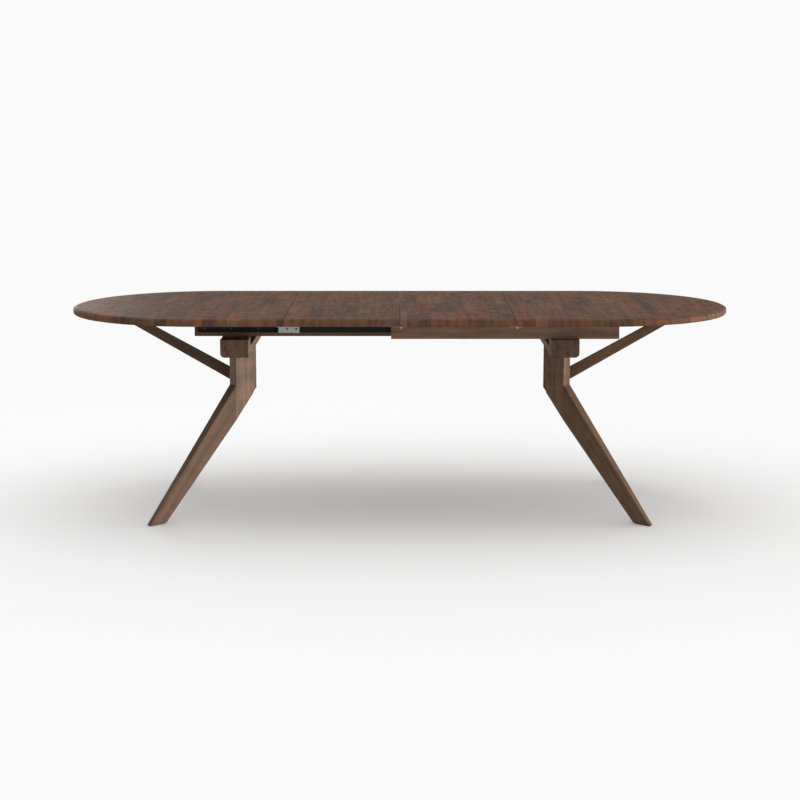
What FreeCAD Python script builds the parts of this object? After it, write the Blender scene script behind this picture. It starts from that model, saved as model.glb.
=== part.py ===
import FreeCAD, Part
import math
import os

# Extending dining table with a folding pair of leaves, shown drawn out.
# Millimetres. X runs along the table, Y away from the front, Z up, origin on the floor in the middle.
V = FreeCAD.Vector

# Overall sizes
table_height = 750.0
table_width = 1000.0
half_length = 800.0          # one end top, from its seam to its tip
leaf_length = 400.0          # pitch of the seams
top_thickness = 25.0
edge_width = 20.0            # soft fall of the upper rim
edge_drop = 8.0
edge_nose = 4.0              # tighter round where that fall meets the edge
edge_round_bottom = 7.0
seam_gap = 1.0               # between a leaf and an end top
fold_gap = 0.5               # between the two leaves
seam_round = 3.0             # eased arris along every seam

# Cross beam on each pedestal
beam_middle = 586.0          # from the middle of the table
beam_width = 100.0
beam_half_length = 309.0
beam_height = 63.5
beam_outer_round = 15.0      # lower edge towards the end of the table
beam_inner_round = 2.0
notch_half_width = 206.0
notch_depth = 33.0

# Rails: the right pair runs outside the left pair
rail_thickness = 24.0
rail_depth = 69.0            # right rails, from the underside of the top to the beam
rail_length = 810.0
left_rail_inner_face = 208.0
right_rail_inner_face = 258.0
left_rail_end = 734.0        # outer end of the left rails, from the middle of the table
right_rail_end = 779.0
packer_thickness = 4.0
packer_inset = 1.0

# Legs: kinked, two to a pedestal, splayed in plan, each a post with a longer board glued on
leg_angle = 45.0             # degrees from the length of the table
leg_root_x = 552.0           # inner edge of a leg, in the middle of its thickness
leg_root_y = 51.0
leg_width = 84.0
leg_thickness = 37.5
leg_post_length = 127.5      # upright part of a leg, on its outer edge
leg_kink_drop = 36.0         # the inner edge bends this much lower
leg_joint_drop = 131.0       # foot of the glued joint between the two boards, below the kink
foot_reach = 481.5           # outer edge of the foot, along the leg's own plane
foot_length = 74.5
foot_thickness = 18.0
glide_thickness = 3.0
glide_inset = 4.0

# Core block between the legs and the brace that rises to the end of the top
core_depth = 55.0            # along the legs
core_drop = 12.0             # below the kink of the legs
brace_width = 24.0
brace_drop = 10.0            # lower corner of the brace below the kink
brace_foot_height = 45.0
brace_head_start = 1014.0    # upper edge meets the top here
brace_head_length = 58.0

# Telescopic slides between the rails
track_height = 27.0
track_depth = 9.5
track_wall = 2.0
track_drop = 37.0            # middle of the slides below the underside of the top
track_inset = 12.0           # from the outer end of its rail
track_tail = 4.0             # from the inner end of its rail
runner_half_length = 433.0
runner_thickness = 4.0
runner_height = 20.0
running_gap = 0.3
shoe_length = 75.0
inner_shoe_length = 60.0
extension_travel = 60.0      # spare opening that frees the leaves
stop_thickness = 3.0
plate_thickness = 1.2
plate_height = 29.0
plate_hole_radius = 3.5
rivet_radius = 2.5
rivet_pitch = 33.0
rivet_from_end = 30.5
rivet_recess = 1.0

# Folding hinges of the pair of leaves
hinge_place_shares = (-0.40, -0.13, 0.13, 0.40)
cup_length = 14.0
cup_width = 16.0
cup_depth = 12.0
link_thickness = 3.0
link_end_radius = 2.7
hinge_pin_radius = 1.0
hinge_pin_length = 12.0
hinge_clearance = 0.3

# Plates under the seams
seam_plate_half_length = 23.5
seam_plate_width = 40.0
seam_plate_thickness = 3.0
seam_plate_edge_inset = 25.0
seam_rib_radius = 5.0
seam_rib_drop = 8.5
seam_rib_offset = 5.0
seam_screw_offset = 17.0
seam_screw_pitch = 24.0

# Fasteners: head radius, head height, shank radius
wood_screw = (4.5, 4.0, 2.2)
plate_screw = (3.2, 1.8, 1.7)
bolt = (7.0, 6.0, 4.0)
rail_screw_bite = 15.0
rail_screw_rise = 25.0
track_screw_pitch = 96.0
track_screw_first = 24.0     # from the outer end of the track
track_screw_count = 7
rail_screw_count = 2
rail_screw_step_count = 2    # rail screws stand in every second gap between track screws
gap_middle_share = 0.5
track_screw_bite = 15.0
plate_screw_bite = 14.0
beam_screw_bite = 25.0
beam_bolt_depth = 55.0       # below the underside of the beam
core_bolt_rise = 22.5        # above the kink of the legs
core_bolt_bite = 36.0
brace_screw_bite = 15.0
brace_screw_sink = 8.0
brace_screw_setback = 30.0   # from the outer end of the brace's head
brace_screw_pitch = 16.0
brace_screw_count = 2
head_sink = 2.0
fastener_clearance = 0.1
overrun = 20.0               # how far a cutter runs past a face

# Sizes that follow from the driving ones
underside = table_height - top_thickness
half_width = table_width / 2
beam_top = underside - rail_depth
beam_bottom = beam_top - beam_height
leg_kink_height = beam_bottom - leg_post_length
core_bottom = leg_kink_height - core_drop
brace_bottom = leg_kink_height - brace_drop
core_bolt_height = leg_kink_height + core_bolt_rise
notch_floor = beam_top - notch_depth
slide_gap_middle = (left_rail_inner_face + rail_thickness + right_rail_inner_face) / 2
track_middle = underside - track_drop
track_bottom = track_middle - track_height / 2
track_top = track_middle + track_height / 2
rail_inner_end = max(left_rail_end, right_rail_end) - rail_length
shoe_play = extension_travel / 2 + running_gap
inner_shoe_start = rail_inner_end + track_tail + 2 * stop_thickness + shoe_play
pin_height = table_height - seam_round
pin_offset = seam_round + fold_gap / 2
SIDES = (("left", -1), ("right", 1))
FACES = (("front", -1), ("back", 1))
os.makedirs("parts", exist_ok=True)


def export(name, *solids):
    """Write one node, as one solid or as a group of separate ones."""
    shape = solids[0] if len(solids) == 1 else Part.makeCompound(list(solids))
    shape.exportStep("parts/" + name + ".step")


def block(x0, x1, y0, y1, z0, z1):
    """Box between two corners, given in any order."""
    low = V(min(x0, x1), min(y0, y1), min(z0, z1))
    return Part.makeBox(abs(x1 - x0), abs(y1 - y0), abs(z1 - z0), low)


def prism(points, along):
    """Solid from a closed outline pushed along a vector."""
    return Part.Face(Part.makePolygon(points + points[:1])).extrude(along)


def flip(shape, side, face):
    """Mirror a shape made for the right and back quarter into another quarter."""
    if side < 0:
        shape = shape.mirror(V(0, 0, 0), V(1, 0, 0))
    if face < 0:
        shape = shape.mirror(V(0, 0, 0), V(0, 1, 0))
    return shape


def fastener(sizes, head_outside, way, length):
    """Headed screw or bolt: its head starts at a point, its shank runs on in the same way."""
    head_radius, head_height, shank_radius = sizes
    head = Part.makeCylinder(head_radius, head_height, head_outside, way)
    shank = Part.makeCylinder(shank_radius, length, head_outside, way)
    return head.fuse(shank)


def fastener_hole(sizes, head_outside, way, length):
    """Cutter for a fastener, with clearance, open on the side of its head."""
    head_radius, head_height, shank_radius = sizes
    start = head_outside - way * overrun
    head = Part.makeCylinder(head_radius + fastener_clearance, head_height + overrun, start, way)
    shank = Part.makeCylinder(shank_radius + fastener_clearance, length + fastener_clearance,
                              head_outside, way)
    return head.fuse(shank)


def seam_round_cutter(x_face, way, below=False):
    """Cutter that eases an arris of a seam face, the upper one or the lower; way points out along X."""
    x_inside = x_face - way * seam_round
    level = underside + seam_round if below else table_height - seam_round
    reach = -seam_round - overrun if below else seam_round + overrun
    corner = block(x_inside, x_face + way * overrun, -half_width - overrun, half_width + overrun,
                   level, level + reach)
    bar = Part.makeCylinder(seam_round, table_width + 2 * overrun,
                            V(x_inside, -half_width - overrun, level), V(0, 1, 0))
    return corner.cut(bar)


def arc(x, middle_y, middle_z, radius, start, end):
    """Arc in a plane across the table, between two angles in degrees up from the Y axis."""
    turns = [math.radians(start + (end - start) * step / 2) for step in range(3)]
    return Part.Arc(*[V(x, middle_y + radius * math.cos(t), middle_z + radius * math.sin(t))
                      for t in turns]).toShape()


def half_section(x):
    """Section across the back half of the top: flat, then a soft fall to the rim, rounded below."""
    run = edge_width - edge_nose
    crown = (run ** 2 + edge_drop ** 2 - edge_nose ** 2) / (2 * (edge_drop - edge_nose))
    meet = math.degrees(math.atan2(crown - edge_drop, run))
    rim_level = table_height - edge_drop
    low_nose = underside + edge_round_bottom
    quarter = math.degrees(math.pi / 2)
    rim = [arc(x, half_width - edge_round_bottom, low_nose, edge_round_bottom, -quarter, 0),
           Part.makeLine(V(x, half_width, low_nose), V(x, half_width, rim_level)),
           arc(x, half_width - edge_nose, rim_level, edge_nose, 0, meet),
           arc(x, half_width - edge_width, table_height - crown, crown, meet, quarter)]
    flats = [Part.makeLine(V(x, half_width - edge_width, table_height), V(x, 0, table_height)),
             Part.makeLine(V(x, 0, table_height), V(x, 0, underside)),
             Part.makeLine(V(x, 0, underside), V(x, half_width - edge_round_bottom, underside))]
    return Part.Face(Part.Wire(rim + flats))


def slab(x0, x1):
    """Straight length of the top between two seams."""
    half = half_section(x0).extrude(V(x1 - x0, 0, 0))
    return half.fuse(half.mirror(V(0, 0, 0), V(0, 1, 0)))


def end_top():
    """Right end top: straight sides from the seam, then a half-round end."""
    seam = leaf_length + seam_gap / 2
    turn = leaf_length + half_length - half_width
    round_end = half_section(turn).revolve(V(turn, 0, 0), V(0, 0, 1), -math.degrees(math.pi))
    board = slab(seam, turn).fuse(round_end).removeSplitter()
    return board.cut(seam_round_cutter(seam, -1))


def leaf():
    """Right leaf: a plain slab; the lower arris of the middle seam is eased too, so it folds freely."""
    x0 = fold_gap / 2
    x1 = leaf_length - seam_gap / 2
    board = slab(x0, x1).removeSplitter()
    board = board.cut(seam_round_cutter(x0, -1)).cut(seam_round_cutter(x1, 1))
    return board.cut(seam_round_cutter(x0, -1, below=True))


def beam_blank():
    """Right cross beam: rounded lower edges and the cut-out that stows the leaves."""
    x0 = beam_middle - beam_width / 2
    x1 = beam_middle + beam_width / 2
    bar = block(x0, x1, -beam_half_length, beam_half_length, beam_bottom, beam_top)
    lower = [e for e in bar.Edges if e.BoundBox.ZMax < notch_floor and e.BoundBox.YLength > beam_half_length]
    lower.sort(key=lambda e: e.BoundBox.XMin)
    bar = bar.makeFillet(beam_inner_round, lower[:1])
    lower = [e for e in bar.Edges if e.BoundBox.ZMax < notch_floor and e.BoundBox.YLength > beam_half_length]
    lower.sort(key=lambda e: e.BoundBox.XMin)
    bar = bar.makeFillet(beam_outer_round, lower[-1:])
    return bar.cut(block(x0 - overrun, x1 + overrun, -notch_half_width, notch_half_width,
                         notch_floor, beam_top + overrun))


def in_leg_frame(shape):
    """Turn a shape from a leg's own plane into the right and back quarter of the table."""
    shape.rotate(V(0, 0, 0), V(0, 0, 1), leg_angle)
    shape.translate(V(leg_root_x, leg_root_y, 0))
    return shape


def leg_boards():
    """Right back leg: an upright post board, and a board glued to its edge that tapers to the foot."""
    inner_kink = leg_kink_height - leg_kink_drop
    outline = [V(0, 0, beam_bottom), V(leg_width, 0, beam_bottom), V(leg_width, 0, leg_kink_height),
               V(foot_reach, 0, glide_thickness), V(foot_reach - foot_length, 0, glide_thickness),
               V(leg_width, 0, leg_kink_height - leg_joint_drop), V(0, 0, inner_kink)]
    board = prism(outline, V(0, leg_thickness, 0))
    board.translate(V(0, -leg_thickness / 2, 0))
    bend = V(leg_width, 0, leg_kink_drop)
    bend.normalize()
    down = V(bend.z, 0, -bend.x)
    fall = (V(foot_reach, 0, glide_thickness) - V(leg_width, 0, leg_kink_height)).dot(down)
    slope = (leg_thickness - foot_thickness) / 2 / fall
    reach = fall + overrun
    for way in (-1, 1):
        start = V(0, way * leg_thickness / 2, inner_kink) - bend * foot_reach
        wedge = [start, start + down * reach - V(0, way * slope * reach, 0),
                 start + down * reach + V(0, way * overrun, 0)]
        board = board.cut(prism(wedge, bend * (2 * foot_reach)))
    beyond_post = block(leg_width, foot_reach + overrun, -leg_thickness, leg_thickness, 0, table_height)
    return in_leg_frame(board.cut(beyond_post)), in_leg_frame(board.common(beyond_post))


def glide():
    """Pad under the right back foot."""
    half = foot_thickness / 2 - glide_inset
    pad = block(foot_reach - foot_length + glide_inset, foot_reach - glide_inset, -half, half,
                0, glide_thickness)
    return in_leg_frame(pad)


def core_corner(along):
    """Point on the inner face of the right back leg, a distance along it from its inner edge."""
    turn = math.radians(leg_angle)
    x = leg_root_x + leg_thickness / 2 * math.sin(turn) + along * math.cos(turn)
    y = leg_root_y - leg_thickness / 2 * math.cos(turn) + along * math.sin(turn)
    return x, y


core_inner_x, core_inner_y = core_corner(0)
core_outer_x, core_outer_y = core_corner(core_depth)


def core():
    """Right core block: fills the fork of the two legs under the beam."""
    plan = [V(core_inner_x, -core_inner_y, core_bottom), V(core_outer_x, -core_outer_y, core_bottom),
            V(core_outer_x, core_outer_y, core_bottom), V(core_inner_x, core_inner_y, core_bottom)]
    return prism(plan, V(0, 0, beam_bottom - core_bottom))


brace_head_end = brace_head_start + brace_head_length
brace_low_slope = (underside - brace_bottom) / (brace_head_end - core_outer_x)


def brace():
    """Right brace: from the core block up to the underside of the end top."""
    side = [V(core_outer_x, 0, brace_bottom), V(core_outer_x, 0, brace_bottom + brace_foot_height),
            V(brace_head_start, 0, underside), V(brace_head_end, 0, underside)]
    bar = prism(side, V(0, brace_width, 0))
    bar.translate(V(0, -brace_width / 2, 0))
    return bar


def rail_sizes(side_name):
    """Inner face, underside, inner end and outer end of a rail, measured on the right and back side."""
    if side_name == "left":
        return left_rail_inner_face, beam_top + packer_thickness, left_rail_end - rail_length, left_rail_end
    return right_rail_inner_face, beam_top, right_rail_end - rail_length, right_rail_end


def track_span(side_name):
    """Inner and outer end of a track, measured towards the outer end of its rail."""
    _, _, x0, x1 = rail_sizes(side_name)
    return x0 + track_tail, x1 - track_inset


def track_face(side_name):
    """Face of the rail that carries the track, and the way its channel opens."""
    inner = rail_sizes(side_name)[0]
    if side_name == "left":
        return inner + rail_thickness, 1
    return inner, -1


def track(side_name):
    """Channel screwed to a rail, with a bent tab that stops the slide."""
    x0, x1 = track_span(side_name)
    back, way = track_face(side_name)
    channel = block(x0, x1, back, back + way * track_depth, track_bottom, track_top)
    hollow = block(x0 - overrun, x1 + overrun, back + way * track_wall, back + way * (track_depth + overrun),
                   track_bottom + track_wall, track_top - track_wall)
    tab_x = inner_shoe_start - shoe_play
    tab = block(tab_x - stop_thickness, tab_x, back + way * track_wall, back + way * track_depth,
                track_bottom + track_wall, track_top - track_wall)
    return channel.cut(hollow).fuse(tab)


def track_screw_heads(side_name):
    """Where the heads of the track screws lie, flush in the web of the channel."""
    x1 = track_span(side_name)[1]
    back, way = track_face(side_name)
    return [V(x1 - track_screw_first - i * track_screw_pitch, back + way * track_wall, track_middle)
            for i in range(track_screw_count)]


def shoe_spans():
    """Both shoes of one end of a runner, measured towards that end."""
    return ((runner_half_length - shoe_length, runner_half_length),
            (inner_shoe_start, inner_shoe_start + inner_shoe_length))


def rivet_places(span):
    """Rivets of one shoe, from its outer end."""
    first = span[1] - rivet_from_end
    last = max(first - rivet_pitch, span[0] + rivet_radius * 2)
    return (first, last)


# End tops and leaves, with the holes and mortises that the hardware needs
tops = {name: flip(end_top(), side, 1) for name, side in SIDES}
leaves = {name: flip(leaf(), side, 1) for name, side in SIDES}

# Rails, beams, posts, legs, cores and braces
rails = {}
beams = {}
posts = {}
legs = {}
cores = {}
braces = {}
for side_name, side in SIDES:
    beams[side_name] = flip(beam_blank(), side, 1)
    cores[side_name] = flip(core(), side, 1)
    braces[side_name] = flip(brace(), side, 1)
    inner, low, x0, x1 = rail_sizes(side_name)
    for face_name, face in FACES:
        bar = block(x0, x1, inner, inner + rail_thickness, low, underside)
        rails[side_name, face_name] = flip(bar, side, face)
        post, lower_leg = leg_boards()
        posts[side_name, face_name] = flip(post, side, face)
        legs[side_name, face_name] = flip(lower_leg, side, face)

# Screws that hold the rails to the end tops, and the beams to the rails
for side_name, side in SIDES:
    inner, low, x0, x1 = rail_sizes(side_name)
    middle = inner + rail_thickness / 2
    rail_screws = []
    beam_screws = []
    for face_name, face in FACES:
        for number in range(rail_screw_count):
            above = track_screw_heads(side_name)[number * rail_screw_step_count]
            place = above.x - gap_middle_share * track_screw_pitch
            start = V(side * place, face * middle, low + rail_screw_rise)
            length = underside - start.z + rail_screw_bite
            rail_screws.append(fastener(wood_screw, start, V(0, 0, 1), length))
            hole = fastener_hole(wood_screw, start, V(0, 0, 1), length)
            access = Part.makeCylinder(wood_screw[0] + fastener_clearance, rail_screw_rise + overrun,
                                       V(start.x, start.y, low - overrun))
            rails[side_name, face_name] = rails[side_name, face_name].cut(hole).cut(access)
            tops[side_name] = tops[side_name].cut(hole)
        start = V(side * beam_middle, face * middle, beam_bottom + head_sink)
        length = low - start.z + beam_screw_bite
        beam_screws.append(fastener(wood_screw, start, V(0, 0, 1), length))
        hole = fastener_hole(wood_screw, start, V(0, 0, 1), length)
        beams[side_name] = beams[side_name].cut(hole)
        rails[side_name, face_name] = rails[side_name, face_name].cut(hole)
    export(side_name + "_rail_screws", *rail_screws)
    export(side_name + "_beam_screws", *beam_screws)

# Packers that carry the left rails on their beam
packers = []
for face_name, face in FACES:
    inner, low, x0, x1 = rail_sizes("left")
    reach = beam_width / 2 - packer_inset
    outer = inner + rail_thickness
    strip = block(-beam_middle - reach, -beam_middle + reach,
                  face * (inner + packer_inset), face * (outer - packer_inset), beam_top, low)
    way_through = V(-beam_middle, face * (inner + rail_thickness / 2), beam_top - overrun)
    bore = Part.makeCylinder(wood_screw[2] + fastener_clearance, packer_thickness + 2 * overrun, way_through)
    packers.append(strip.cut(bore))
export("left_rail_packers", *packers)

# Bolts down through the beam into the core and the posts, and across the core into the brace
for side_name, side in SIDES:
    turn = math.radians(leg_angle)
    leg_x = leg_root_x + leg_width / 2 * math.cos(turn)
    leg_y = leg_root_y + leg_width / 2 * math.sin(turn)
    core_x = (core_inner_x + core_outer_x) / 2
    head_z = notch_floor - head_sink
    length = head_z - beam_bottom + beam_bolt_depth
    bolts = []
    for x, y in ((core_x, 0), (leg_x, leg_y), (leg_x, -leg_y)):
        start = V(side * x, y, head_z)
        bolts.append(fastener(bolt, start, V(0, 0, -1), length))
        hole = fastener_hole(bolt, start, V(0, 0, -1), length)
        beams[side_name] = beams[side_name].cut(hole)
        cores[side_name] = cores[side_name].cut(hole)
        for face_name, face in FACES:
            posts[side_name, face_name] = posts[side_name, face_name].cut(hole)
    export(side_name + "_beam_bolts", *bolts)
    start = V(side * (core_inner_x + head_sink), 0, core_bolt_height)
    length = core_outer_x - core_inner_x - head_sink + core_bolt_bite
    export(side_name + "_core_bolt", fastener(bolt, start, V(side, 0, 0), length))
    hole = fastener_hole(bolt, start, V(side, 0, 0), length)
    cores[side_name] = cores[side_name].cut(hole)
    braces[side_name] = braces[side_name].cut(hole)

# Screws through the head of each brace into the end top
for side_name, side in SIDES:
    brace_screws = []
    for number in range(brace_screw_count):
        setback = brace_screw_setback + number * brace_screw_pitch
        head_z = underside - brace_low_slope * setback + brace_screw_sink
        length = underside - head_z + brace_screw_bite
        start = V(side * (brace_head_end - setback), 0, head_z)
        brace_screws.append(fastener(wood_screw, start, V(0, 0, 1), length))
        hole = fastener_hole(wood_screw, start, V(0, 0, 1), length)
        braces[side_name] = braces[side_name].cut(hole)
        tops[side_name] = tops[side_name].cut(hole)
    export(side_name + "_brace_screws", *brace_screws)

# Foot glides
for side_name, side in SIDES:
    export(side_name + "_foot_glides", *[flip(glide(), side, face) for face_name, face in FACES])

# Slide tracks and their screws
for side_name, side in SIDES:
    track_screws = []
    way = -track_face(side_name)[1]
    length = track_wall + track_screw_bite
    for face_name, face in FACES:
        channel = track(side_name)
        rail_cutters = []
        for head in track_screw_heads(side_name):
            start = head + V(0, way * (track_wall - plate_screw[1]), 0)
            track_screws.append(flip(fastener(plate_screw, start, V(0, way, 0), length), side, face))
            rail_cutters.append(fastener_hole(plate_screw, start, V(0, way, 0), length))
        channel = channel.cut(rail_cutters)
        export(side_name + "_" + face_name + "_track", flip(channel, side, face))
        turned = [flip(cutter, side, face) for cutter in rail_cutters]
        rails[side_name, face_name] = rails[side_name, face_name].cut(turned)
    export(side_name + "_track_screws", *track_screws)

# Runner bars, with their shoes, rivets and carriage plates
for face_name, face in FACES:
    near = slide_gap_middle - runner_thickness / 2
    far = slide_gap_middle + runner_thickness / 2
    bar = block(-runner_half_length, runner_half_length, near, far,
                track_middle - runner_height / 2, track_middle + runner_height / 2)
    shoes = []
    rivets = []
    plates = []
    for side_name, side in SIDES:
        back, way = track_face(side_name)
        bar_face = near if way > 0 else far
        other_face = far if way > 0 else near
        shoe_floor = back + way * (track_wall + running_gap)
        shoe_half_height = track_height / 2 - track_wall - running_gap
        for span in shoe_spans():
            shoe = block(side * span[0], side * span[1], shoe_floor, bar_face,
                         track_middle - shoe_half_height, track_middle + shoe_half_height)
            for x in rivet_places(span):
                foot = V(side * x, shoe_floor + way * rivet_recess, track_middle)
                length = abs(other_face - foot.y)
                rivets.append(Part.makeCylinder(rivet_radius, length, foot, V(0, way, 0)))
                hole = Part.makeCylinder(rivet_radius + fastener_clearance, length + overrun,
                                         foot - V(0, way * fastener_clearance, 0), V(0, way, 0))
                bar = bar.cut(hole)
                shoe = shoe.cut(hole)
            shoes.append(shoe)
        plate = block(side * runner_half_length, side * (runner_half_length - shoe_length), other_face,
                      other_face + way * plate_thickness, track_middle - plate_height / 2,
                      track_middle + plate_height / 2)
        for x in rivet_places(shoe_spans()[0]):
            plate = plate.cut(Part.makeCylinder(plate_hole_radius, 2 * overrun,
                                                V(side * x, other_face - overrun, track_middle), V(0, 1, 0)))
        plates.append(plate)
    export(face_name + "_runner", flip(bar, 1, face))
    export(face_name + "_slide_shoes", *[flip(shape, 1, face) for shape in shoes])
    export(face_name + "_shoe_rivets", *[flip(shape, 1, face) for shape in rivets])
    export(face_name + "_carriage_plates", *[flip(shape, 1, face) for shape in plates])

# Folding hinges: cups let into both leaves, a pin in each cup, and links between the pins
hinge_places = [share * table_width for share in hinge_place_shares]
slot_half = link_thickness / 2 + hinge_clearance
slot_reach = pin_offset + link_end_radius + hinge_clearance
slot_floor = pin_height - link_end_radius - hinge_clearance
for side_name, side in SIDES:
    cups = []
    pins = []
    round_off = flip(seam_round_cutter(fold_gap / 2, -1), side, 1)
    for y in hinge_places:
        half = cup_width / 2
        seam_face = fold_gap / 2
        cup_end = seam_face + cup_length
        cup = block(side * seam_face, side * cup_end, y - half, y + half,
                    table_height - cup_depth, table_height)
        mortise = block(side * (seam_face - overrun), side * (cup_end + fastener_clearance),
                        y - half - fastener_clearance, y + half + fastener_clearance,
                        table_height - cup_depth, table_height + overrun)
        leaves[side_name] = leaves[side_name].cut(mortise)
        slot = block(side * (fold_gap / 2 - overrun), side * slot_reach, y - slot_half, y + slot_half,
                     slot_floor, table_height + overrun)
        start = V(side * pin_offset, y - hinge_pin_length / 2, pin_height)
        pin = Part.makeCylinder(hinge_pin_radius, hinge_pin_length, start, V(0, 1, 0))
        play = fastener_clearance / 2
        bore = Part.makeCylinder(hinge_pin_radius + play, hinge_pin_length + 2 * play,
                                 start - V(0, play, 0), V(0, 1, 0))
        cups.append(cup.cut(round_off).cut(slot).cut(bore))
        pins.append(pin)
    export(side_name + "_hinge_cups", *cups)
    export(side_name + "_hinge_pins", *pins)
links = []
for y in hinge_places:
    plate = block(-pin_offset, pin_offset, y - link_thickness / 2, y + link_thickness / 2,
                  pin_height - link_end_radius, pin_height + link_end_radius)
    for way in (-1, 1):
        start = V(way * pin_offset, y - link_thickness / 2, pin_height)
        plate = plate.fuse(Part.makeCylinder(link_end_radius, link_thickness, start, V(0, 1, 0)))
    for way in (-1, 1):
        start = V(way * pin_offset, y - link_thickness / 2 - overrun, pin_height)
        plate = plate.cut(Part.makeCylinder(hinge_pin_radius + hinge_clearance, link_thickness + 2 * overrun,
                                            start, V(0, 1, 0)))
    links.append(plate.removeSplitter())
export("hinge_links", *links)


def seam_plate(seam_x, owner):
    """Ribbed plate under a seam, on the back edge; owner is the side that it is screwed to."""
    outer = half_width - seam_plate_edge_inset
    inner = outer - seam_plate_width
    flat = block(seam_x - seam_plate_half_length, seam_x + seam_plate_half_length, inner, outer,
                 underside - seam_plate_thickness, underside)
    rib_z = underside - seam_rib_drop + seam_rib_radius
    rib = Part.makeCylinder(seam_rib_radius, seam_plate_width,
                            V(seam_x + owner * seam_rib_offset, inner, rib_z), V(0, 1, 0))
    above = block(seam_x - leaf_length, seam_x + leaf_length, inner, outer, underside, table_height)
    return flat.fuse(rib.cut(above))


def seam_screw_heads(seam_x, owner):
    """Where the two screws of a seam plate start, on the back edge."""
    middle = half_width - seam_plate_edge_inset - seam_plate_width / 2
    x = seam_x + owner * seam_screw_offset
    return [V(x, middle + way * seam_screw_pitch / 2, underside - seam_plate_thickness) for way in (-1, 1)]


# Seam plates: the outer two are screwed to the end tops, the middle one to the right leaf
for name, seam_x, owner in (("left", -leaf_length, -1), ("centre", 0, 1), ("right", leaf_length, 1)):
    plates = []
    screws = []
    length = seam_plate_thickness + plate_screw_bite
    for face_name, face in FACES:
        plate = seam_plate(seam_x, owner)
        for head in seam_screw_heads(seam_x, owner):
            screws.append(flip(fastener(plate_screw, head, V(0, 0, 1), length), 1, face))
            hole = fastener_hole(plate_screw, head, V(0, 0, 1), length)
            plate = plate.cut(hole)
            hole = flip(hole, 1, face)
            if name == "centre":
                leaves["right"] = leaves["right"].cut(hole)
            else:
                tops[name] = tops[name].cut(hole)
        plates.append(flip(plate, 1, face))
    export(name + "_seam_plates", *plates)
    export(name + "_seam_screws", *screws)

# The wooden pieces are written last, with every hole in them
for side_name, side in SIDES:
    export(side_name + "_top", tops[side_name])
    export(side_name + "_leaf", leaves[side_name])
    export(side_name + "_beam", beams[side_name])
    export(side_name + "_post_core", cores[side_name])
    export(side_name + "_brace", braces[side_name])
    for face_name, face in FACES:
        export(side_name + "_" + face_name + "_rail", rails[side_name, face_name])
        export(side_name + "_" + face_name + "_post", posts[side_name, face_name])
        export(side_name + "_" + face_name + "_leg", legs[side_name, face_name])
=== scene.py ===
import math

import bmesh
import bpy
from mathutils import Matrix, Vector


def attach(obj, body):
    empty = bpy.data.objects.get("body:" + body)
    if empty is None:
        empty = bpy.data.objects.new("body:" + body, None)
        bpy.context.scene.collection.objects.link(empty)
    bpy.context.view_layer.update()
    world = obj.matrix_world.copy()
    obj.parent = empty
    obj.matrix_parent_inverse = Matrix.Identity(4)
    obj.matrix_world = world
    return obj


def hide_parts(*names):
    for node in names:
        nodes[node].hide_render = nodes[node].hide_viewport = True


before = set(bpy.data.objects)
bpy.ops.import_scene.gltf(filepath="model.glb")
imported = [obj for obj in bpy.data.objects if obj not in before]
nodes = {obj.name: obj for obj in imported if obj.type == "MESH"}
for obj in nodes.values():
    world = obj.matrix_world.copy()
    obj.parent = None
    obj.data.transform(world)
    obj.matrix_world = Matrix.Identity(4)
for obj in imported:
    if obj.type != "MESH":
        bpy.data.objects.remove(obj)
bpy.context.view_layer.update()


# Posts and lower legs. Each leg is two solid walnut boards: an upright post under the beam and a
# longer board glued to the post's outer edge, which runs out to the foot and thins towards it.
# The long edges are eased by hand, and the satin lacquer is worn a little paler along them.
SIDES = (("left", -1), ("right", 1))
FACES = (("front", -1), ("back", 1))


class Shade:
    """A socket of a material; sums and products of sockets add the Math nodes they need."""

    def __init__(self, tree, socket=None):
        self.tree = tree
        self.socket = socket

    def node(self, kind, settings=None, values=None, out=0):
        made = self.tree.nodes.new(kind)
        for key, setting in (settings or {}).items():
            if key == "stops":
                ramp = made.color_ramp
                ramp.elements[0].position, ramp.elements[0].color = setting[0]
                ramp.elements[1].position, ramp.elements[1].color = setting[-1]
                for place, colour in setting[1:-1]:
                    ramp.elements.new(place).color = colour
            else:
                setattr(made, key, setting)
        for key, value in (values or {}).items():
            if isinstance(value, Shade):
                self.tree.links.new(value.socket, made.inputs[key])
            else:
                made.inputs[key].default_value = value
        return Shade(self.tree, made.outputs[out])

    def maths(self, operation, first, second=0.0):
        return self.node("ShaderNodeMath", {"operation": operation}, {0: first, 1: second})

    def parts(self):
        """The X, Y and Z of a vector."""
        split = self.node("ShaderNodeSeparateXYZ", values={0: self}).socket.node
        return [Shade(self.tree, socket) for socket in split.outputs]

    def __add__(self, other):
        return self.maths("ADD", self, other)

    def __radd__(self, other):
        return self.maths("ADD", other, self)

    def __sub__(self, other):
        return self.maths("SUBTRACT", self, other)

    def __rsub__(self, other):
        return self.maths("SUBTRACT", other, self)

    def __mul__(self, other):
        return self.maths("MULTIPLY", self, other)

    def __truediv__(self, other):
        return self.maths("DIVIDE", self, other)


def mix_colour(shade, factor, first, second, blend="MIX"):
    factor_in, first_in, second_in, colour_out = 0, 6, 7, 2
    return shade.node("ShaderNodeMix", {"data_type": "RGBA", "blend_type": blend},
                      {factor_in: factor, first_in: first, second_in: second}, out=colour_out)


def stretched(shade, place, x, y, z):
    return shade.node("ShaderNodeVectorMath", {"operation": "MULTIPLY"}, {0: place, 1: (x, y, z)})


def noise(shade, place, scale=1.0, detail=2.0, roughness=0.5, distortion=0.0, dimensions="3D"):
    return shade.node("ShaderNodeTexNoise", {"noise_dimensions": dimensions},
                      {"Vector": place, "Scale": scale, "Detail": detail, "Roughness": roughness,
                       "Distortion": distortion})


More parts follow.
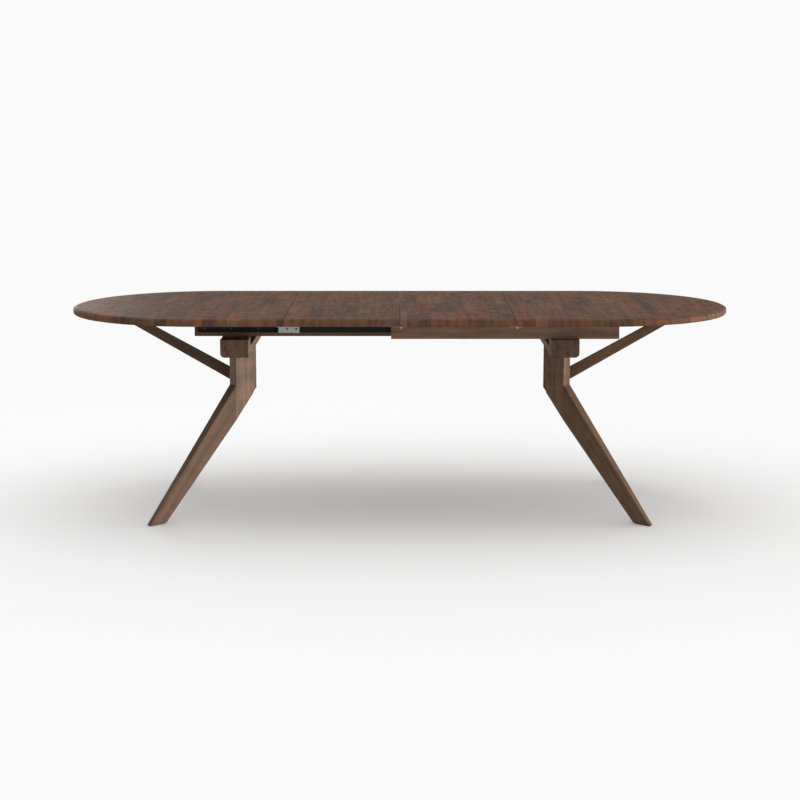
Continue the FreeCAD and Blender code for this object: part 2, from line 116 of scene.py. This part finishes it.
def spread(shade, value, low, high, start=0.0, end=1.0, blend="LINEAR"):
    """Carry a value from the range low to high over to start to end, and stop it there."""
    return shade.node("ShaderNodeMapRange", {"interpolation_type": blend},
                      {"Value": value, "From Min": low, "From Max": high,
                       "To Min": start, "To Max": end})


def blank_material(name):
    """A new material, its main shader, and a Shade to make the rest with."""
    made = bpy.data.materials.new(name)
    made.use_nodes = True
    tree = made.node_tree
    return made, tree.nodes["Principled BSDF"], Shade(tree)


def coat(shade, shader, colour, rough, height, strength, distance, shine):
    """Give a surface its colour, roughness, relief and gloss."""
    relief = shade.node("ShaderNodeBump", values={"Height": height, "Strength": strength,
                                                  "Distance": distance})
    for entry, part in (("Base Color", colour), ("Roughness", rough), ("Normal", relief)):
        shade.tree.links.new(part.socket, shader.inputs[entry])
    shader.inputs["Specular IOR Level"].default_value = shine


def walnut(name, centre, turn, stave, tones, seed, curly=0.08, shine=0.006):
    """Lacquered walnut glued up from staves: grain along local X, rows beside it along local Y."""
    stave_length, stave_width = stave
    made, shader, s = blank_material(name)
    spot = s.node("ShaderNodeTexCoord", out="Object")
    local = s.node("ShaderNodeMapping", {"vector_type": "TEXTURE"},
                   {"Vector": spot, "Location": centre, "Rotation": turn})
    along, across = local.parts()[:2]

    # One number for each stave: its row across the board, then its place along that row. Every row
    # starts elsewhere, and the staves in it differ in length. The counts stay above zero.
    first_row, first_step, row_shift, length_change = 40.5, 60.0, 9.0, 1.3
    wobble_pace, wobble_apart, other_draw = 0.9, 3.7, (1.3, 1.7, 1.1)
    rows = across / stave_width + (seed + first_row)
    row = s.maths("FLOOR", rows)
    row_chance = s.node("ShaderNodeTexWhiteNoise", {"noise_dimensions": "1D"}, {"W": row + seed})
    wobble_at = s.node("ShaderNodeCombineXYZ", values={0: along * (wobble_pace / stave_length),
                                                       1: row * wobble_apart})
    wobble = noise(s, wobble_at, detail=0.0, dimensions="2D")
    steps = along / stave_length + row_chance * row_shift + wobble * length_change + first_step
    step = s.maths("FLOOR", steps)
    cell = s.node("ShaderNodeCombineXYZ", values={0: row, 1: step, 2: seed})
    chance = s.node("ShaderNodeTexWhiteNoise", {"noise_dimensions": "3D"}, {"Vector": cell})
    chance_colour = s.node("ShaderNodeTexWhiteNoise", {"noise_dimensions": "3D"},
                           {"Vector": stretched(s, cell, *other_draw)}, out="Color")

    # Grain, drawn out along the stave and shifted so that no two staves match. The three numbers
    # say how fine each pattern is along, across and through the stave.
    furthest_shift = (5.0, 3.0, 3.0)
    shifted = s.node("ShaderNodeVectorMath", {"operation": "MULTIPLY_ADD"},
                     {0: chance_colour, 1: furthest_shift, 2: local})
    figure = noise(s, stretched(s, shifted, 5.0, 55.0, 55.0),
                   detail=4.0, roughness=0.6, distortion=0.5)
    curl = noise(s, stretched(s, shifted, 24.0, 9.0, 9.0), detail=3.0, distortion=0.8)
    rings = s.node("ShaderNodeTexWave", {"wave_type": "BANDS", "bands_direction": "Y"},
                   {"Vector": stretched(s, shifted, 0.9, 9.0, 7.0), "Scale": 1.0, "Distortion": 9.0,
                    "Detail": 3.0, "Detail Scale": 1.3})
    fibre = noise(s, stretched(s, shifted, 14.0, 420.0, 420.0))
    pores = noise(s, stretched(s, shifted, 42.0, 900.0, 900.0), detail=1.0)
    pore = spread(s, pores, 0.60, 0.72)
    # The arris mask carries wear; the seam mask carries painted shade.
    arris, seam = (s.node("ShaderNodeAttribute", {"attribute_name": mark}, out="Fac")
                   for mark in ("arris", "seam"))
    worn = spread(s, noise(s, local, scale=55.0, detail=3.0), 0.42, 0.62) * arris

    # Thin dark glue lines round every stave, full at the joint and gone a millimetre beside it.
    row_edge = s.maths("PINGPONG", rows, 0.5) * stave_width
    end_edge = s.maths("PINGPONG", steps, 0.5) * stave_length
    glue = spread(s, s.maths("MINIMUM", row_edge, end_edge), 0.0003, 0.0011, start=1.0, end=0.0)

    streaks = [(0.30, (0.62, 0.62, 0.64, 1)), (0.50, (1.0, 1.0, 1.0, 1)),
               (0.70, (1.30, 1.22, 1.16, 1))]
    fibre_brown, pore_brown_and_seam_shade = (0.060, 0.038, 0.027, 1), (0.030, 0.019, 0.014, 1)
    worn_brown = (0.19, 0.125, 0.088, 1)
    ring_share = 0.15
    grain = figure * (1.0 - ring_share - curly) + curl * curly + rings * ring_share
    tone = s.node("ShaderNodeValToRGB", {"stops": tones}, {"Fac": chance})
    streak = s.node("ShaderNodeValToRGB", {"stops": streaks}, {"Fac": grain})
    colour = mix_colour(s, 1.0, tone, streak, "MULTIPLY")
    # The seam arris is painted dark in pore brown: painted shade in the seam between two boards.
    for share, brown in ((fibre * 0.12, fibre_brown), (pore * 0.30, pore_brown_and_seam_shade),
                         (glue * 0.10, pore_brown_and_seam_shade), (seam * 0.85, pore_brown_and_seam_shade),
                         (worn * 0.35, worn_brown)):
        colour = mix_colour(s, share, colour, brown)
    rough = 0.5 + (fibre - 0.5) * 0.16 + pore * 0.12 + (chance - 0.5) * 0.06 - worn * 0.06
    height = fibre * 0.35 - pore * 0.5 - glue * 1.2 + figure * 0.25
    coat(s, shader, colour, rough, height, strength=0.14, distance=0.0006, shine=shine)
    return made


def new_object(name, data):
    made = bpy.data.objects.new(name, data)
    bpy.context.scene.collection.objects.link(made)
    return made


def finish_board(name, shape, material, body, slot, *stands_for):
    """Make the mesh of a wooden piece and hang it on its body in place of its solids."""
    sharp_from, wide_faces_only = math.radians(50), 100
    mesh = bpy.data.meshes.new(name)
    shape.to_mesh(mesh)
    shape.free()
    mesh.shade_smooth()
    mesh.set_sharp_from_angle(angle=sharp_from)
    mesh.materials.append(material)
    piece = new_object(name, mesh)
    flat = piece.modifiers.new("flat faces", "WEIGHTED_NORMAL")
    flat.weight = wide_faces_only
    flat.keep_sharp = True
    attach(piece, body)
    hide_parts(*stands_for)


def ease(shape, edges, width, segments=3, layer="arris"):
    """Round some edges and mark the new faces, as a worn arris or as a seam arris that is painted
    dark as painted shade.
    """
    mark = shape.faces.layers.float.get(layer) or shape.faces.layers.float.new(layer)
    rounded = bmesh.ops.bevel(shape, geom=edges, offset=width, offset_type="OFFSET",
                              segments=segments, profile=0.5, material=-1, affect="EDGES",
                              clamp_overlap=True)
    for face in rounded["faces"]:
        face[mark] = 1.0


def only_verts(geom):
    return [part for part in geom if isinstance(part, bmesh.types.BMVert)]


def board(corners, halves, panels):
    """Flat board in the X-Z plane from its corners and half its thickness at each of them."""
    shape = bmesh.new()
    shape.faces.layers.float.new("arris")
    made = [shape.verts.new((x, half, z)) for (x, z), half in zip(corners, halves)]
    sheets = [shape.faces.new([made[i] for i in panel]) for panel in panels]
    for vert in only_verts(bmesh.ops.extrude_face_region(shape, geom=sheets)["geom"]):
        vert.co.y = -vert.co.y
    bmesh.ops.recalc_face_normals(shape, faces=shape.faces)
    return shape


def base_tones(paleness_and_painted_light):
    """Four near tones of walnut, made as pale as the board is; for the posts, braces and rails that
    paleness is painted light and shade.
    """
    tones = ((0.00, (0.122, 0.076, 0.050)), (0.35, (0.131, 0.081, 0.053)),
             (0.65, (0.140, 0.085, 0.055)), (1.00, (0.131, 0.084, 0.058)))
    return [(place, tuple(paleness_and_painted_light * c for c in colour) + (1,)) for place, colour in tones]


quarter = math.pi / 2
touching = 1e-6
post_width, foot_reach, foot_length = 0.084, 0.4815, 0.0745
post_top, kink_outer, kink_inner = 0.5925, 0.465, 0.429
joint_low, foot_height = 0.334, 0.003
half_at_kink, half_at_foot = 0.01875, 0.009
leg_arris, leg_curl, grain_height = 0.002, 0.35, 0.40
leg_place, splay = (0.552, 0.051, 0), math.radians(45)
# A stave longer and wider than any of these boards, so that each is of one piece.
whole_board = (90.0, 0.2)
# Paleness of each board: the posts are painted paler than the lower legs, and the left post paler
# than the right, as painted light; the legs keep their own tone.
leg_painted_light = {"left post": 1.56, "right post": 1.30, "left leg": 0.98, "right leg": 0.98}
leg_gloss = {"left post": 0.085, "right post": 0.005, "left leg": 0.035, "right leg": 0.005}
bend = Vector((post_width, kink_outer - kink_inner)).normalized()
down = Vector((bend.y, -bend.x))
leg_fall = (Vector((foot_reach, foot_height)) - Vector((post_width, kink_outer))).dot(down)
leg_lean = math.atan2(foot_height - kink_outer, foot_reach - post_width)
post_corners = [(0, post_top), (post_width, post_top), (post_width, kink_outer),
                (post_width, joint_low), (0, kink_inner)]
leg_corners = [(post_width, kink_outer), (foot_reach, foot_height),
               (foot_reach - foot_length, foot_height), (post_width, joint_low)]
leg_boards = (("post", post_corners, ((0, 1, 2, 4), (2, 3, 4)), quarter),
              ("leg", leg_corners, ((0, 1, 2, 3),), -leg_lean))


def half_thickness(corner):
    """Half the board's thickness, which is even down to the kink and then falls to the foot."""
    depth = (Vector(corner) - Vector((0, kink_inner))).dot(down)
    return half_at_kink - (half_at_kink - half_at_foot) * max(depth, 0) / leg_fall


def is_eased(edge):
    """True for a board's long edges and its foot, false at the glue joint and along the kink."""
    shortest_across, slight = 0.01, math.radians(8)
    a, b = (vert.co for vert in edge.verts)
    on_joint = (abs(a.x - post_width) + abs(b.x - post_width) < touching
                and max(a.z, b.z) < kink_outer + touching)
    across_board = abs(a.y - b.y) > shortest_across
    at_foot = max(a.z, b.z) < foot_height + touching
    crease = len(edge.link_faces) == 2 and edge.calc_face_angle(0) < slight
    return not on_joint and not crease and (at_foot or not across_board)


for side_name, side in SIDES:
    for face_name, face in FACES:
        place = (Matrix.Diagonal((side, face, 1, 1)) @ Matrix.Translation(leg_place)
                 @ Matrix.Rotation(splay, 4, "Z"))
        spin = splay * side * face + (math.pi if side < 0 else 0)
        origin = place @ Vector((post_width / 2, 0, grain_height))
        for number, (kind, corners, panels, tilt) in enumerate(leg_boards):
            shape = board(corners, [half_thickness(corner) for corner in corners], panels)
            ease(shape, [edge for edge in shape.edges if is_eased(edge)], leg_arris)
            bmesh.ops.transform(shape, matrix=place, verts=shape.verts)
            if side * face < 0:
                bmesh.ops.reverse_faces(shape, faces=shape.faces)
            # The posts' extra paleness is painted light.
            wood = walnut(f"{side_name} {face_name} {kind} walnut", origin, (quarter, tilt, spin),
                          whole_board, base_tones(leg_painted_light[f"{side_name} {kind}"]),
                          seed=3.0 * side + 7.0 * face + number, curly=leg_curl,
                          shine=leg_gloss[f"{side_name} {kind}"])
            finish_board(f"{side_name}_{face_name}_{kind}_board", shape, wood,
                         f"{side_name}_table", "base_wood", f"{side_name}_{face_name}_{kind}")


# Beams, core blocks, braces and rails. Solid walnut bars, planed square, with their arrises taken
# off with a block plane; the beams are cut out in the middle for the stowed leaves and bolted down
# through that cut-out, the rails and braces are screwed up into the top.
def planed_copy(node, width):
    """Copy of a solid's mesh, merged, with its outer edges eased."""
    flat, corner = math.radians(0.3), math.radians(40)
    shape = bmesh.new()
    shape.from_mesh(nodes[node].data)
    bmesh.ops.remove_doubles(shape, verts=shape.verts, dist=touching)
    bmesh.ops.dissolve_limit(shape, angle_limit=flat, verts=shape.verts, edges=shape.edges)
    shape.faces.layers.float.new("arris")
    sharp = [edge for edge in shape.edges if len(edge.link_faces) == 2
             and edge.calc_face_angle(0) > corner and edge.is_convex]
    ease(shape, sharp, width, segments=2)
    return shape


def dress(node, material):
    """Give a solid that is shown as it is its material."""
    node.data.materials.clear()
    node.data.materials.append(material)


brace_foot, brace_head = Vector((0.604, 0.455)), Vector((1.072, 0.725))
brace_lean = math.atan2(brace_head.y - brace_foot.y, brace_head.x - brace_foot.x)
# The right braces and rails are painted paler as painted light from the right, and the left ones
# darker as painted shade.
brace_painted_light, rail_painted_light = {"left": 0.75, "right": 1.09}, {"left": 0.88, "right": 1.42}
for side_name, side in SIDES:
    # Each bar: its name, the turn of its grain, its middle, the width of its arris, its paleness,
    # which is painted light and shade for the braces and rails.
    bars = [("beam", (0, 0, quarter), (0.586 * side, 0, 0.626), 0.0016, 0.92),
            ("post_core", (0, quarter, 0), (0.584 * side, 0, 0.53), 0.0012, 1.0),
            ("brace", (0, -brace_lean * side, 0), (0.83 * side, 0, 0.60), 0.0016,
             brace_painted_light[side_name])]
    bars += [(f"{face_name}_rail", (quarter, 0, 0), (0.37 * side, 0.24 * face, 0.69), 0.0014,
              rail_painted_light[side_name]) for face_name, face in FACES]
    for number, (kind, turn, centre, width, paleness_and_painted_light) in enumerate(bars):
        wood = walnut(f"{side_name} {kind} walnut", centre, turn, whole_board,
                      base_tones(paleness_and_painted_light), seed=2.0 * number + side)
        finish_board(f"{side_name}_{kind}_bar", planed_copy(f"{side_name}_{kind}", width), wood,
                     f"{side_name}_table", "base_wood", f"{side_name}_{kind}")

# Packers of the same walnut lift the left rails off their beam.
packer_centre, packer_stave, packer_paleness = (-0.58, 0, 0.66), (0.9, 0.04), 0.85
dress(nodes["left_rail_packers"],
      walnut("packer walnut", packer_centre, (0, 0, quarter), packer_stave,
             base_tones(packer_paleness), seed=5.0))


# End tops. Two D-shaped boards of short walnut staves laid across the table, the upper rim worked
# down in a wide soft curve, the lower one rounded, the seam arris just broken.
top_tones = [(0.00, (0.070, 0.041, 0.033, 1)), (0.08, (0.084, 0.049, 0.033, 1)),
             (0.15, (0.108, 0.060, 0.031, 1)), (0.35, (0.114, 0.061, 0.033, 1)),
             (0.50, (0.116, 0.058, 0.037, 1)), (0.65, (0.119, 0.058, 0.042, 1)),
             (0.75, (0.123, 0.062, 0.038, 1)), (0.83, (0.144, 0.064, 0.036, 1)),
             (0.92, (0.148, 0.070, 0.039, 1)), (1.00, (0.138, 0.082, 0.053, 1))]
top_stave, top_curl, top_grain = (0.155, 0.042), 0.72, (0, 0, quarter)
stave_start, stave_offset = 0.402, 0.031
underside, middle_height, upper_edge, grain_level = 0.725, 0.7375, 0.7419, 0.74
round_middle, round_steps, top_seam, seam_width = 0.700, 120, 0.4005, 0.003
arc_steps = 6
rim = [(0.493, underside)]
# Each arc of the rim: its middle, radius, first and last angle, and the first step that is new.
for reach, height, radius, first, last, start in ((0.493, 0.732, 0.007, -90, 0, 1),
                                                  (0.496, 0.742, 0.004, 0, 61.93, 0),
                                                  (0.480, 0.712, 0.038, 61.93, 90, 1)):
    for step in range(start, arc_steps + 1):
        turn = math.radians(first + (last - first) * step / arc_steps)
        rim.append((reach + radius * math.cos(turn), height + radius * math.sin(turn)))


def place_on_rim(vert):
    """Sorts the rim from the inner edge of the underside out and back in to the upper face."""
    upper = vert.co.z > middle_height
    return upper, -abs(vert.co.y) if upper else abs(vert.co.y)


for side_name, side in SIDES:
    shape = bmesh.new()
    shape.faces.layers.float.new("arris")
    chain = [shape.verts.new((round_middle, -reach, height)) for reach, height in rim]
    edges = [shape.edges.new(pair) for pair in zip(chain, chain[1:])]
    swept = bmesh.ops.spin(shape, geom=chain + edges, cent=(round_middle, 0, 0), axis=(0, 0, 1),
                           angle=math.pi, steps=round_steps)
    far = [part for part in swept["geom_last"] if isinstance(part, bmesh.types.BMEdge)]
    ends = []
    for profile in (edges, far):
        moved = only_verts(bmesh.ops.extrude_edge_only(shape, edges=profile)["geom"])
        bmesh.ops.translate(shape, vec=(top_seam - round_middle, 0, 0), verts=moved)
        ends.append(sorted(moved, key=place_on_rim))
    shape.edges.new((ends[0][0], ends[1][0]))
    shape.edges.new((ends[0][-1], ends[1][-1]))
    bmesh.ops.holes_fill(shape, edges=[e for e in shape.edges if e.is_boundary or e.is_wire],
                         sides=0)
    if side < 0:
        bmesh.ops.scale(shape, vec=(-1, 1, 1), verts=shape.verts)
    bmesh.ops.recalc_face_normals(shape, faces=shape.faces)
    seams = [edge for edge in shape.edges
             if all(abs(abs(vert.co.x) - top_seam) < touching and vert.co.z > upper_edge
                    for vert in edge.verts)]
    # The seam arris faces are marked for painted shade.
    ease(shape, seams, seam_width, layer="seam")
    wood = walnut(f"{side_name} top walnut", (stave_start * side, stave_offset, grain_level),
                  top_grain, top_stave, top_tones, seed=11.0 + side, curly=top_curl)
    finish_board(f"{side_name}_top_board", shape, wood, f"{side_name}_table", "top_wood",
                 f"{side_name}_top")


# Leaves. The loose pair that fills the middle, from the same staves and with the same rim as the
# end tops; square mortises for the folding hinges are chopped into the seam between them.
leaf_inner, leaf_outer, lower_edge, by_middle = 0.00025, 0.3995, 0.7321, 0.001
hinge_rows = (-0.400, -0.130, 0.130, 0.400)
mortise_size, mortise_height = (0.0287, 0.0162, 0.024), 0.750
leaf_stave_start, leaf_stave_offset = 0.002, -0.02
for side_name, side in SIDES:
    inner, outer = leaf_inner * side, leaf_outer * side
    shape = bmesh.new()
    shape.faces.layers.float.new("arris")
    section = [(-reach, height) for reach, height in rim]
    section += [(reach, height) for reach, height in reversed(rim)]
    end = shape.faces.new([shape.verts.new((inner, y, z)) for y, z in section])
    grown = only_verts(bmesh.ops.extrude_face_region(shape, geom=[end])["geom"])
    bmesh.ops.translate(shape, vec=(outer - inner, 0, 0), verts=grown)
    bmesh.ops.recalc_face_normals(shape, faces=shape.faces)
    ends = [e for e in shape.edges if abs(e.verts[0].co.x - e.verts[1].co.x) < touching]
    seams = [edge for edge in ends
             if all(vert.co.z > upper_edge
                    or (vert.co.z < lower_edge and abs(vert.co.x) < by_middle)
                    for vert in edge.verts)]
    # The seam arris faces are marked for painted shade.
    ease(shape, seams, seam_width, layer="seam")
    pockets = bmesh.new()
    for y in hinge_rows:
        pocket = bmesh.ops.create_cube(pockets, size=1)["verts"]
        bmesh.ops.scale(pockets, vec=mortise_size, verts=pocket)
        bmesh.ops.translate(pockets, vec=(0, y, mortise_height), verts=pocket)
    blank, chisel = (new_object(word, bpy.data.meshes.new(word)) for word in ("blank", "chisel"))
    shape.to_mesh(blank.data)
    pockets.to_mesh(chisel.data)
    pockets.free()
    chopped = blank.modifiers.new("mortises", "BOOLEAN")
    chopped.object = chisel
    shape.clear()
    shape.from_object(blank, bpy.context.evaluated_depsgraph_get())
    for tool in (blank, chisel):
        bpy.data.meshes.remove(tool.data)
    wood = walnut(f"{side_name} leaf walnut",
                  (leaf_stave_start * side, leaf_stave_offset, grain_level), top_grain,
                  top_stave, top_tones, seed=17.0 + 3.0 * side, curly=top_curl)
    finish_board(f"{side_name}_leaf_board", shape, wood, f"{side_name}_leaf", "top_wood",
                 f"{side_name}_leaf")


# Slides, hinges and fasteners. Black steel channels on the rails with a black runner bar and nylon
# shoes between them and a zinc plate riveted over the runner's end; bronzed hinges let into the
# leaves, zinc plates under the seams, steel screws and bolts, nylon glides under the feet.
def metal(name, colour, roughness, metallic, speck, stretch, shine=0.5):
    """Metal or moulded nylon with drawn-out streaks, handling marks and a speckled finish."""
    paler, lift, darker = 1.35, 0.012, 0.72
    made, shader, s = blank_material(name)
    spot = s.node("ShaderNodeTexCoord", out="Object")
    rolled = noise(s, stretched(s, spot, *stretch), detail=3.0)
    grit = noise(s, spot, scale=speck)
    marks = noise(s, spot, scale=38.0, detail=4.0)
    pale = tuple(min(1.0, c * paler + lift) for c in colour) + (1,)
    dim = tuple(c * darker for c in colour) + (1,)
    base = mix_colour(s, rolled * 0.6 + marks * 0.4, dim, pale)
    rough = roughness + (grit - 0.5) * 0.3 + (marks - 0.5) * 0.2
    coat(s, shader, base, rough, grit * 0.6 + rolled * 0.4, strength=0.12, distance=0.0003,
         shine=shine)
    shader.inputs["Metallic"].default_value = metallic
    return made


black_steel = metal("black steel", (0.008, 0.0085, 0.008), roughness=0.6, metallic=0.0,
                    speck=900.0, stretch=(6.0, 60.0, 60.0), shine=0.08)
zinc = metal("zinc plate", (0.30, 0.31, 0.30), roughness=0.42, metallic=1.0,
             speck=420.0, stretch=(20.0, 160.0, 160.0))
nylon = metal("black nylon", (0.016, 0.016, 0.017), roughness=0.6, metallic=0.0,
              speck=300.0, stretch=(30.0, 30.0, 30.0), shine=0.2)
bright_zinc = metal("bright zinc", (0.44, 0.39, 0.34), roughness=0.5, metallic=0.2,
                    speck=420.0, stretch=(20.0, 160.0, 160.0))
brass = metal("bronzed brass", (0.095, 0.062, 0.042), roughness=0.6, metallic=0.0,
              speck=500.0, stretch=(40.0, 12.0, 40.0), shine=0.02)
finishes = ((("_track", "_runner", "_bolts", "_core_bolt", "_rivets"), black_steel),
            (("_seam_plates", "_seam_screws"), bright_zinc),
            (("_carriage_plates", "_rail_screws", "_beam_screws", "_brace_screws"), zinc),
            (("_hinge_cups", "_hinge_pins", "hinge_links", "_track_screws"), brass),
            (("_slide_shoes", "_foot_glides"), nylon))
for name, node in nodes.items():
    for endings, finish in finishes:
        if name.endswith(endings):
            dress(node, finish)


# Floor, light and camera. A pale floor under a soft dome that is brightest overhead, a low band of
# light from the right, and a faint lamp behind on the left, for the sheen on that end of the top.
def in_sight(shade):
    """Marks the rays straight from the camera, then all that show a thing, mirrored ones too."""
    camera_ray, mirrored, through = (shade.node("ShaderNodeLightPath", out=f"Is {kind} Ray")
                                     for kind in ("Camera", "Glossy", "Transmission"))
    either = shade.maths("MAXIMUM", mirrored, through)
    return camera_ray, shade.maths("MAXIMUM", camera_ray, either)


backdrop, floor_grey, floor_roughness, floor_half = 0.955, 0.88, 0.9, 30
fade_start, fade_end, fade_squash = 0.9, 2.6, 0.72
floor_mesh = bpy.data.meshes.new("floor")
shape = bmesh.new()
bmesh.ops.create_grid(shape, x_segments=1, y_segments=1, size=floor_half)
shape.to_mesh(floor_mesh)
shape.free()
floor = new_object("floor", floor_mesh)
floor_paint, shader, s = blank_material("pale floor")
shader.inputs["Base Color"].default_value = (floor_grey, floor_grey, floor_grey, 1)
shader.inputs["Roughness"].default_value = floor_roughness
shader.inputs["Specular IOR Level"].default_value = 0.0
spot = s.node("ShaderNodeTexCoord", out="Object")
away = s.node("ShaderNodeVectorMath", {"operation": "LENGTH"},
              {0: stretched(s, spot, fade_squash, 1.0, 1.0)}, out="Value")
outside = spread(s, away, fade_start, fade_end, blend="SMOOTHSTEP")
camera_ray, shown = in_sight(s)
glow = s.node("ShaderNodeEmission", values={"Color": (backdrop, backdrop, backdrop, 1)})
paint = Shade(s.tree, shader.outputs[0])
faded = s.node("ShaderNodeMixShader", values={0: shown * outside, 1: paint, 2: glow})
from_below = s.node("ShaderNodeNewGeometry", out="Backfacing")
clear = s.node("ShaderNodeBsdfTransparent")
seen = s.node("ShaderNodeMixShader", values={0: camera_ray * from_below, 1: faded, 2: clear})
s.tree.links.new(seen.socket, s.tree.nodes["Material Output"].inputs["Surface"])
floor_mesh.materials.append(floor_paint)

dome_low, dome_rise = 0.33, 0.99
band_strength, band_right, band_back = 74.0, 0.97, 0.24
band_edge, band_core, band_top_start, band_top_end = 0.72, 0.94, 0.02, 0.10
world = bpy.data.worlds.new("studio")
bpy.context.scene.world = world
world.use_nodes = True
s = Shade(world.node_tree)
rightward, backward, upward = s.node("ShaderNodeTexCoord", out="Generated").parts()
from_right = spread(s, rightward * band_right + backward * band_back, band_edge, band_core,
                    blend="SMOOTHSTEP")
near_floor = spread(s, upward, band_top_start, band_top_end, start=1.0, end=0.0,
                    blend="SMOOTHSTEP")
dome = (dome_low + s.maths("MAXIMUM", upward, 0.0) * dome_rise
        + from_right * near_floor * band_strength)
strength = dome + in_sight(s)[1] * (backdrop - dome)
sky = world.node_tree.nodes["Background"]
sky.inputs["Color"].default_value = (1, 1, 1, 1)
world.node_tree.links.new(strength.socket, sky.inputs["Strength"])

lamp_place, lamp_aim = Vector((-4.3, 8.0, 1.55)), Vector((-1.0, 0, 0.75))
lamp = bpy.data.lights.new("sheen left", "AREA")
lamp.shape = "RECTANGLE"
lamp.size, lamp.size_y, lamp.energy = 4.0, 1.6, 190
holder = new_object("sheen left", lamp)
holder.location = lamp_place
holder.rotation_euler = (lamp_aim - lamp_place).to_track_quat("-Z", "Y").to_euler()
holder.visible_camera = False

look_down = math.radians(9.365)
eye = bpy.data.cameras.new("camera")
eye.sensor_width = 36.0
eye.lens = 78.88
eye.clip_end = 200
viewer = new_object("camera", eye)
viewer.location = (0.0007, -6.4577, 1.4550)
viewer.rotation_euler = (quarter - look_down, 0, 0)
bpy.context.scene.camera = viewer
bpy.context.scene.view_settings.view_transform = "Standard"
